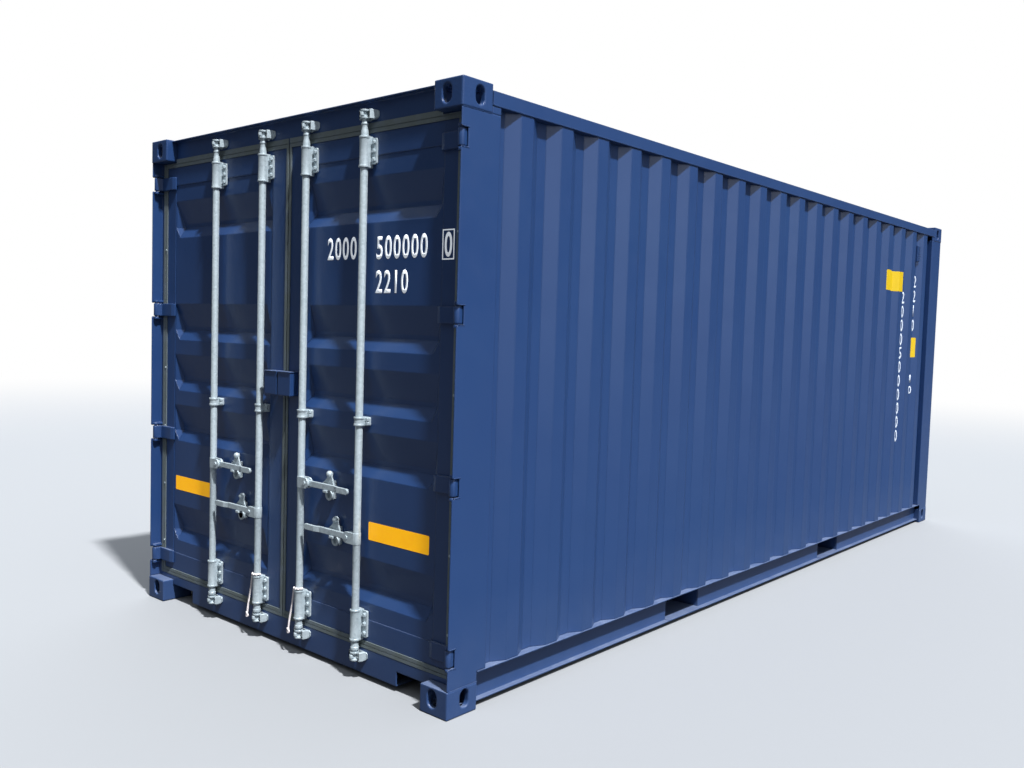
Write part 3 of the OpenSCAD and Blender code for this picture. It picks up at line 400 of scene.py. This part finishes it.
def evenPoints(points, step):  # rounds the route's corners, then spaces its points evenly
    for _ in range(2):
        cut = [points[0]]
        for a, b in zip(points, points[1:]):
            cut += [a.lerp(b, 0.25), a.lerp(b, 0.75)]
        points = cut + [points[-1]]
    spaced, left = [points[0]], step
    for a, b in zip(points, points[1:]):
        length = (b - a).length
        while left <= length:
            spaced.append(a.lerp(b, left / length))
            left += step
        left -= length
    return spaced


def addStrand(curve, points, turn, radius, lay):  # one of the strands, laid round the rope's middle line
    side = Vector((0, 0, 1))
    spline = curve.splines.new("POLY")
    spline.points.add(len(points) - 1)
    travelled = 0
    for k, point in enumerate(points):
        along = (points[min(k + 1, len(points) - 1)] - points[max(k - 1, 0)]).normalized()
        side = (side - along * side.dot(along)).normalized()
        angle = turn + 2 * math.pi * travelled / lay
        place = point + (side * math.cos(angle) + along.cross(side) * math.sin(angle)) * radius
        spline.points[k].co = (*place, 1)
        if k + 1 < len(points):
            travelled += (points[k + 1] - point).length
    spline.use_smooth = True


def addRopes():
    for side, x in rope["bars"].items():
        base = Vector((x, doorEnd / mm + rope["barDepth"], 0))
        points = evenPoints([(base + Vector(p)) * mm for p in rope["route"] + rope["loop"]], rope["step"] * mm)
        radius = rope["diameter"] / 2 * mm
        strand = radius * rope["strandShare"]
        curve = bpy.data.curves.new("tieRope_" + side, "CURVE")
        curve.dimensions = "3D"
        curve.bevel_depth = strand * rope["swell"]
        curve.bevel_resolution = 2
        curve.use_fill_caps = True
        for k in range(rope["strands"]):
            turn = 2 * math.pi * k / rope["strands"]
            addStrand(curve, points, turn, radius - strand, rope["lay"] * mm)
        piece = bpy.data.objects.new("tieRope_" + side, curve)
        bpy.context.collection.objects.link(piece)
        onlySelect(piece)
        bpy.ops.object.convert(target="MESH")
        piece = finishPiece(bpy.context.object, "tieRope_" + side, side + "_door", twistedNylon)
        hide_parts("tie_rope_" + side)


addRopes()
print("ropes hung")

# Finishes of the CAD nodes
zincGear = ("lock_bar", "handle_", "brackets", "catches", "cam_keepers")


def dressNode(name, node):
    if name == "plywood_floor":
        material = varnishedPlywood
    elif "gasket" in name:
        material = sealRubber
    elif "rope" in name:
        return
    elif any(word in name for word in zincGear):
        material = galvanised
    elif name.startswith("corner_fittings"):
        material = paintedCasting
    else:
        material = paintedSheet
    node.data.materials.clear()
    node.data.materials.append(material)
    for face in node.data.polygons:
        face.material_index = 0


for nodeName, nodePiece in nodes.items():
    dressNode(nodeName, nodePiece)
print("nodes dressed")

# Radii of the soft edges, in millimetres: cast fittings, pressed posts and rails, forged gear
softEdges = {
    "corner_fittings": 5.5, "door_post": 2.9, "front_posts": 2.9, "header": 1.9, "sill": 2.5, "top_rail": 1.4,
    "lock_box": 1.9, "hinge": 2,
    "lock_bar": 1, "handle_": 2.5, "catches": 2, "brackets": 1.5, "cam_keepers": 1.4,
}
edgeWork = {"weld": 0.01, "segments": 3, "flatAngle": 0.5, "sharpAngle": 40}  # millimetres and degrees


def softenEdges(name, node):
    for word, radius in softEdges.items():
        if word in name:
            weld = node.modifiers.new("Weld", "WELD")
            weld.merge_threshold = edgeWork["weld"] * mm
            flat = node.modifiers.new("Flat", "DECIMATE")  # whole faces, so that the bevels run clean
            flat.decimate_type = "DISSOLVE"
            flat.angle_limit = math.radians(edgeWork["flatAngle"])
            bevel = node.modifiers.new("Bevel", "BEVEL")
            bevel.width = radius * mm
            bevel.segments = edgeWork["segments"]
            bevel.limit_method = "ANGLE"
            bevel.angle_limit = math.radians(edgeWork["sharpAngle"])
            bevel.use_clamp_overlap = False
            return


for nodeName, nodePiece in nodes.items():
    softenEdges(nodeName, nodePiece)
print("edges softened")

# Pressed side wall, as part.scad draws it, in millimetres
wave = {"inner": 1178, "depth": 36, "start": -2585.8, "pitch": 276.4, "flat": 80, "slope": 68, "count": 19}


def wallX(y):  # depth of the sheet's outer face
    place = (y - wave["start"]) % wave["pitch"]
    inner = wave["pitch"] - wave["flat"] - wave["slope"]
    if place < wave["slope"]:
        rise = 1 - place / wave["slope"]
    elif place < inner:
        rise = 0
    else:
        rise = min(1, (place - inner) / wave["slope"])
    return wave["inner"] + wave["depth"] * rise


def wallBends(low, high):  # where the sheet is folded between two places along the wall
    rise = wave["pitch"] - wave["flat"]
    found = []
    for k in range(-1, wave["count"] + 1):
        base = wave["start"] + k * wave["pitch"]
        for step in (0, wave["slope"], rise - wave["slope"], rise):
            if low < base + step < high:
                found.append(base + step)
    return found


def wrapOnWall(piece, proud):  # folds a flat film over the corrugations
    settle(piece)
    ys = [v.co.y / mm for v in piece.data.vertices]
    bpy.ops.object.mode_set(mode="EDIT")
    for y in wallBends(min(ys), max(ys)):
        bpy.ops.mesh.select_all(action="SELECT")
        bpy.ops.mesh.bisect(plane_co=(0, y * mm, 0), plane_no=(0, 1, 0))
    bpy.ops.object.mode_set(mode="OBJECT")
    for v in piece.data.vertices:
        v.co.x = (wallX(v.co.y / mm) + proud) * mm


# Plain digits, so that no owner, maker or type is named
film = {"proud": 0.6, "labelProud": 0.48, "thickness": 0.5}  # wall labels lie just under the digits
lettering = {"bold": 0.014, "spacing": 1.2, "oneShare": 0.35}  # width of a 1, as a share of the others'


def addDigits(text, centre, size, turn, wrap):  # size is width and height in millimetres
    bpy.ops.object.text_add(location=(0, 0, 0))
    piece = bpy.context.object
    piece.data.body = text
    piece.data.align_x = "CENTER"
    piece.data.offset = lettering["bold"]
    piece.data.space_character = lettering["spacing"]
    onlySelect(piece)
    bpy.ops.object.convert(target="MESH")
    piece = bpy.context.object
    xs = [v.co.x for v in piece.data.vertices]
    ys = [v.co.y for v in piece.data.vertices]
    middle = Vector(((min(xs) + max(xs)) / 2, (min(ys) + max(ys)) / 2, 0))
    piece.data.transform(Matrix.Translation(-middle))
    piece.scale = (size[0] * mm / (max(xs) - min(xs)), size[1] * mm / (max(ys) - min(ys)), 1)
    piece.rotation_euler = turn
    piece.location = Vector(centre) * mm
    if wrap:
        wrapOnWall(piece, film["proud"])
    else:
        settle(piece)
    return piece


def joinPieces(pieces):
    deselectAll()
    for piece in pieces:
        piece.select_set(True)
    bpy.context.view_layer.objects.active = pieces[0]
    bpy.ops.object.join()
    return bpy.context.view_layer.objects.active


def thicken(piece, thickness):
    applyModifier(piece, "SOLIDIFY", thickness=thickness * mm, offset=-1)


doorTurn = (math.radians(90), 0, 0)
sideTurn = (math.radians(90), 0, math.radians(90))
leafDepth = {"panel": 66, "frame": 63}  # of their faces behind the fittings' ends
panelY = doorEnd / mm + leafDepth["panel"]
leafY = doorEnd / mm + leafDepth["frame"]

doorDigits = {  # text, middle, and width and height
    "rows": [("2000", (408, 1946), (208, 101)), ("500000", (811, 1942), (323, 101)),
             ("2210", (752, 1793), (209, 101))],
    "boxed": ("0", (1098, 1941), (43, 101)),
    "box": (69, 124), "boxLine": 5,
}


def addFrame(centre, size, line, turn):  # an outline of constant width
    bpy.ops.mesh.primitive_plane_add(size=1, location=Vector(centre) * mm)
    piece = bpy.context.object
    piece.scale = (size[0] * mm, size[1] * mm, 1)
    bpy.ops.object.transform_apply(location=False, rotation=False, scale=True)
    bpy.ops.object.mode_set(mode="EDIT")
    bpy.ops.mesh.select_all(action="SELECT")
    bpy.ops.mesh.inset(thickness=line * mm)
    bpy.ops.mesh.delete(type="FACE")
    bpy.ops.object.mode_set(mode="OBJECT")
    piece.rotation_euler = turn
    settle(piece)
    return piece


def addDoorDigits():
    made = [addDigits(text, (x, panelY - film["proud"], z), size, doorTurn, False)
            for text, (x, z), size in doorDigits["rows"]]
    text, (x, z), size = doorDigits["boxed"]
    centre = (x, leafY - film["proud"], z)
    made.append(addDigits(text, centre, size, doorTurn, False))
    made.append(addFrame(centre, doorDigits["box"], doorDigits["boxLine"], doorTurn))
    piece = joinPieces(made)
    thicken(piece, film["thickness"])
    finishPiece(piece, "doorDigits", "right_door", whiteVinylPaintedGlow)


addDoorDigits()

sideDigits = {
    "long": {"y": 2240, "top": 2004, "bottom": 761, "digits": "20005000000", "width": 30, "height": 98},
    "short": {"y": 2515, "top": 2150, "bottom": 1684, "digits": "2210", "width": 30, "height": 98},
    "small": {"y": 2520, "top": 1313, "bottom": 1151, "digits": "10", "width": 36, "height": 66},
}


def addSideDigits():
    made = []
    for column in sideDigits.values():
        count = len(column["digits"])
        pitch = (column["top"] - column["bottom"] - column["height"]) / (count - 1)
        for k, text in enumerate(column["digits"]):
            centre = (wave["inner"], column["y"], column["top"] - column["height"] / 2 - k * pitch)
            width = column["width"] * (lettering["oneShare"] if text == "1" else 1)
            made.append(addDigits(text, centre, (width, column["height"]), sideTurn, True))
    piece = joinPieces(made)
    thicken(piece, film["thickness"])
    finishPiece(piece, "sideDigits", "container", whiteVinylPaintedDarkForSun)


addSideDigits()
print("digits laid")

# Bare yellow label films
labels = {
    "rightDoorLabel": {"body": "right_door", "low": (634, 640), "high": (1025, 722)},
    "leftDoorLabel": {"body": "left_door", "low": (-1043, 641), "high": (-653, 720)},
    "sideLabelLarge": {"body": "container", "low": (1749, 1997), "high": (2221, 2155)},
    "sideLabelSmall": {"body": "container", "low": (2433, 1463), "high": (2556, 1629)},
}
labelCorner = 6  # millimetres


def addLabel(name, label):
    onDoor = label["body"] != "container"
    middle = [(a + b) / 2 for a, b in zip(label["low"], label["high"])]
    size = [b - a for a, b in zip(label["low"], label["high"])]
    bpy.ops.mesh.primitive_plane_add(size=1)
    piece = bpy.context.object
    piece.scale = (size[0] * mm, size[1] * mm, 1)
    bpy.ops.object.transform_apply(location=False, rotation=False, scale=True)
    bpy.ops.object.mode_set(mode="EDIT")
    bpy.ops.mesh.select_all(action="SELECT")
    bpy.ops.mesh.bevel(offset=labelCorner * mm, segments=3, affect="VERTICES")
    bpy.ops.object.mode_set(mode="OBJECT")
    if onDoor:
        piece.rotation_euler = doorTurn
        piece.location = Vector((middle[0], panelY - film["proud"], middle[1])) * mm
        settle(piece)
    else:
        piece.rotation_euler = sideTurn
        piece.location = Vector((wave["inner"], middle[0], middle[1])) * mm
        wrapOnWall(piece, film["labelProud"])
    thicken(piece, film["thickness"])
    finishPiece(piece, name, label["body"], yellowVinylPaintedGlow if onDoor else yellowVinylPaintedDarkForSun)


for labelName, labelPlace in labels.items():
    addLabel(labelName, labelPlace)
print("labels laid")

# Hexagon bolts of the bar brackets: flat washer, head with chamfered corners
bolt = {"across": 17, "head": 7, "washer": 11, "washerThick": 2, "chamfer": 1.2}


def makeBolt():  # points out of the doors, seated at the origin
    thick = bolt["washerThick"] * mm
    bpy.ops.mesh.primitive_cylinder_add(vertices=24, radius=bolt["washer"] * mm, depth=thick,
                                        location=(0, -thick / 2, 0), rotation=doorTurn)
    washer = bpy.context.object
    settle(washer)
    height = bolt["head"] * mm
    bpy.ops.mesh.primitive_cylinder_add(vertices=6, radius=bolt["across"] * mm / math.sqrt(3), depth=height,
                                        location=(0, -thick - height / 2, 0), rotation=doorTurn)
    head = bpy.context.object
    settle(head)
    bpy.ops.object.mode_set(mode="EDIT")
    selectFaces(head, lambda centre, normal: normal.y < -0.9)
    bpy.ops.mesh.bevel(offset=bolt["chamfer"] * mm, segments=2, affect="EDGES")
    bpy.ops.object.mode_set(mode="OBJECT")
    return joinPieces([washer, head])


bracketBolts = {
    "bars": {"left_door": (-596, -176), "right_door": (176, 596)},
    "plateFront": 53,  # depth of the bracket plates' faces
    "outer": {"x": 38, "zs": (214, 256, 298, 2324, 2362, 2400)},
    "middle": {"x": 31, "zs": (1164, 1182)},
}


def addBracketBolts():
    y = doorEnd / mm + bracketBolts["plateFront"]
    groups = (bracketBolts["outer"], bracketBolts["middle"])
    for body, bars in bracketBolts["bars"].items():
        places = [Vector((x + group["x"], y, z)) * mm for x in bars for group in groups for z in group["zs"]]
        piece = copies(makeBolt(), places)
        finishPiece(piece, "bracketBolts_" + body, body, galvanised)


addBracketBolts()

# Rivets that hold the gasket's lip, on both leaves
lipRivets = {"radius": 6, "proud": 3, "lip": 59, "x": 1156, "zs": range(330, 2320, 332)}


def makeRivet():
    bpy.ops.mesh.primitive_uv_sphere_add(segments=16, ring_count=8, radius=1)
    head = bpy.context.object
    head.scale = (lipRivets["radius"] * mm, lipRivets["proud"] * mm, lipRivets["radius"] * mm)
    settle(head)
    return head


def addLipRivets():
    y = doorEnd / mm + lipRivets["lip"]
    for side, body in ((1, "right_door"), (-1, "left_door")):
        places = [Vector((side * lipRivets["x"], y, z)) * mm for z in lipRivets["zs"]]
        finishPiece(copies(makeRivet(), places), "lipRivets_" + body, body, galvanised)


addLipRivets()
print("bolts and rivets set")

# Weld beads: along and across where the posts meet the fittings, and above and below the hinge lugs
beads = {
    "radius": 3.5, "ripple": 9, "dip": 0.75,
    "side": 1215, "end": 3025, "joint": 118, "inset": 2, "along": 175, "across": 156,
    "hinges": (250, 955, 1653, 2356), "hingeHalf": 41, "hingeRun": (4, 44),
}


def addBead(start, stop):  # a bead of weld metal with its ripples
    start, stop = Vector(start) * mm, Vector(stop) * mm
    count = max(2, round((stop - start).length / (beads["ripple"] * mm)))
    curve = bpy.data.curves.new("bead", "CURVE")
    curve.dimensions = "3D"
    curve.bevel_depth = beads["radius"] * mm
    curve.bevel_resolution = 1
    curve.use_fill_caps = True
    spline = curve.splines.new("POLY")
    spline.points.add(2 * count)
    for k, point in enumerate(spline.points):
        point.co = (*start.lerp(stop, k / (2 * count)), 1)
        point.radius = beads["dip"] if k % 2 else 1
    piece = bpy.data.objects.new("bead", curve)
    bpy.context.collection.objects.link(piece)
    onlySelect(piece)
    bpy.ops.object.convert(target="MESH")
    return bpy.context.object


def addBeads():
    made = []
    end = beads["end"]
    near, far = beads["hingeRun"]
    for way in (-1, 1):
        side = way * beads["side"]
        inner = way * (beads["side"] - beads["across"])
        for z in (beads["joint"], cadHigh.z / mm - beads["joint"]):
            made.append(addBead((side, -end + beads["inset"], z), (side, -end + beads["along"], z)))
            made.append(addBead((side, end - beads["inset"], z), (side, end - beads["along"], z)))
            made.append(addBead((side, end, z), (inner, end, z)))
        for middle in beads["hinges"]:
            for z in (middle - beads["hingeHalf"], middle + beads["hingeHalf"]):
                made.append(addBead((side, -end + near, z), (side, -end + far, z)))
    for piece in made:
        settle(piece)
    finishPiece(joinPieces(made), "weldBeads", "container", paintedCasting)


addBeads()
print("welds laid")

# Plates that close the posts' heads up to the top rails
postHeads = {"x": (1210, 1216), "y": (2797, 2850.7), "z": (2473.3, 2505.7), "edge": 2}


def addPostHeads():
    low, high = (Vector(corner) * mm for corner in zip(postHeads["x"], postHeads["y"], postHeads["z"]))
    made = []
    for x in (-1, 1):
        for y in (-1, 1):
            bpy.ops.mesh.primitive_cube_add(size=1, location=(low + high) / 2)
            plate = bpy.context.object
            plate.scale = high - low
            plate.location.x *= x
            plate.location.y *= y
            settle(plate)
            applyModifier(plate, "BEVEL", width=postHeads["edge"] * mm, segments=3)
            made.append(plate)
    finishPiece(joinPieces(made), "postHeads", "container", paintedSheet)


addPostHeads()
print("post heads closed")

# Slats across the vents
slats = {
    "x": 1205, "y": 2511.2, "zs": range(2281, 2396, 18),
    "length": 54, "height": 5, "proud": 2.5, "tilt": 25,  # degrees
}


def addSlats():
    for name, way in (("right", 1), ("left", -1)):
        bpy.ops.mesh.primitive_cube_add(size=1)
        slat = bpy.context.object
        slat.scale = (slats["proud"] * 2 * mm, slats["length"] * mm, slats["height"] * mm)
        slat.rotation_euler = (0, -way * math.radians(slats["tilt"]), 0)
        places = [Vector((way * slats["x"], way * slats["y"], z)) * mm for z in slats["zs"]]
        finishPiece(copies(slat, places), "ventSlats_" + name, "container", paintedSheet)


addSlats()

# Countersunk screws that hold the floor boards down, in rows over the cross members
screws = {"radius": 5.5, "height": 0.8, "z": 178, "xs": range(-1080, 1081, 240), "ys": range(-2700, 2801, 290)}


def addFloorScrews():
    bpy.ops.mesh.primitive_cylinder_add(vertices=12, radius=screws["radius"] * mm, depth=screws["height"] * mm)
    places = [Vector((x, y, screws["z"])) * mm for x in screws["xs"] for y in screws["ys"]]
    finishPiece(copies(bpy.context.object, places), "floorScrews", "container", galvanised)


addFloorScrews()
print("slats and screws set")

# Plain pale floor and soft studio light: the floor fades into the backdrop, and throws little light back
studio = {
    "floor": "#8f9296", "floorThrow": "#434548", "floorSize": 120, "floorDrop": 0.0005, "floorRoughness": 0.9,
    "fadeFrom": 7, "fadeTo": 22,  # metres from the middle
    "sky": "#e6ecf3", "skyLevel": 0.06, "skyFrom": 0.1, "skyTo": 0.8, "skyAbove": 0.9,
    "leftShare": 0.15, "leftFrom": -0.8, "leftTo": 0.1,  # the sky above is dimmer on the left
    "patches": [{"way": (0.97, 0.1, 0.12), "edge": 28, "level": 1.8},  # sheen on the long wall
                {"way": (-0.75, 0.6, 0.35), "edge": 50, "level": 2.2}],  # fill behind
    "sunWay": (0.5, -0.13, 0.86), "sunPower": 7, "sunAngle": 3,
}


def addFloor():
    bpy.ops.mesh.primitive_plane_add(size=studio["floorSize"], location=(0, 0, -studio["floorDrop"]))
    floor = bpy.context.object
    floor.name = "studioFloor"
    material, shader = newMaterial("paleFloor")
    rays = addNode(material, "ShaderNodeLightPath")
    colour = addNode(material, "ShaderNodeMix", {"Factor": rays.outputs["Is Camera Ray"]},
                     {"A": linearColour(studio["floorThrow"]), "B": linearColour(studio["floor"])},
                     data_type="RGBA")
    plug(material, colour.outputs["Result"], shader.inputs["Base Color"])
    shader.inputs["Roughness"].default_value = studio["floorRoughness"]
    place = addNode(material, "ShaderNodeTexCoord").outputs["Object"]
    distance = addNode(material, "ShaderNodeVectorMath", {0: place}, operation="LENGTH")
    fade = addNode(material, "ShaderNodeMapRange", {"Value": distance.outputs["Value"]},
                   {"From Min": studio["fadeFrom"], "From Max": studio["fadeTo"]},
                   interpolation_type="SMOOTHSTEP")
    share = addNode(material, "ShaderNodeMath", {0: fade.outputs[0], 1: rays.outputs["Is Camera Ray"]},
                    operation="MULTIPLY")
    white = addNode(material, "ShaderNodeEmission", values={"Color": (1, 1, 1, 1), "Strength": 1})
    mixed = addNode(material, "ShaderNodeMixShader",
                    {"Fac": share.outputs[0], 1: shader.outputs[0], 2: white.outputs[0]})
    plug(material, mixed.outputs[0], material.node_tree.nodes["Material Output"].inputs["Surface"])
    floor.data.materials.append(material)


def addSun():
    bpy.ops.object.light_add(type="SUN")
    sun = bpy.context.object
    sun.rotation_mode = "QUATERNION"
    sun.rotation_quaternion = Vector(studio["sunWay"]).to_track_quat("Z", "Y")
    sun.data.energy = studio["sunPower"]
    sun.data.angle = math.radians(studio["sunAngle"])


def addSky():  # brighter above, with wide soft patches, and white where the camera sees it
    world = bpy.data.worlds.new("softStudio")
    bpy.context.scene.world = world
    world.use_nodes = True
    sky = world.node_tree.nodes["Background"]
    sky.inputs["Color"].default_value = linearColour(studio["sky"])
    way = addNode(world, "ShaderNodeTexCoord").outputs["Generated"]
    parts = addNode(world, "ShaderNodeSeparateXYZ", {"Vector": way})
    above = addNode(world, "ShaderNodeMapRange", {"Value": parts.outputs["Z"]},
                    {"From Min": studio["skyFrom"], "From Max": studio["skyTo"], "To Max": studio["skyAbove"]})
    left = addNode(world, "ShaderNodeMapRange", {"Value": parts.outputs["X"]},
                   {"From Min": studio["leftFrom"], "From Max": studio["leftTo"],
                    "To Min": studio["leftShare"]})
    above = addNode(world, "ShaderNodeMath", {0: above.outputs[0], 1: left.outputs[0]}, operation="MULTIPLY")
    level = addNode(world, "ShaderNodeMath", {0: above.outputs[0]}, {1: studio["skyLevel"]}, operation="ADD")
    for patch in studio["patches"]:
        nearness = addNode(world, "ShaderNodeVectorMath", {0: way}, {1: Vector(patch["way"]).normalized()},
                           operation="DOT_PRODUCT")
        glow = addNode(world, "ShaderNodeMapRange", {"Value": nearness.outputs["Value"]},
                       {"From Min": math.cos(math.radians(patch["edge"])), "To Max": patch["level"]},
                       interpolation_type="SMOOTHSTEP")
        level = addNode(world, "ShaderNodeMath", {0: level.outputs[0], 1: glow.outputs[0]}, operation="ADD")
    plug(world, level.outputs[0], sky.inputs["Strength"])
    backdrop = addNode(world, "ShaderNodeBackground", values={"Color": (1, 1, 1, 1), "Strength": 1})
    rays = addNode(world, "ShaderNodeLightPath")
    mixed = addNode(world, "ShaderNodeMixShader",
                    {"Fac": rays.outputs["Is Camera Ray"], 1: sky.outputs[0], 2: backdrop.outputs[0]})
    plug(world, mixed.outputs[0], world.node_tree.nodes["World Output"].inputs["Surface"])


addFloor()
addSun()
addSky()
bpy.context.scene.view_settings.view_transform = "Standard"
print("studio set")
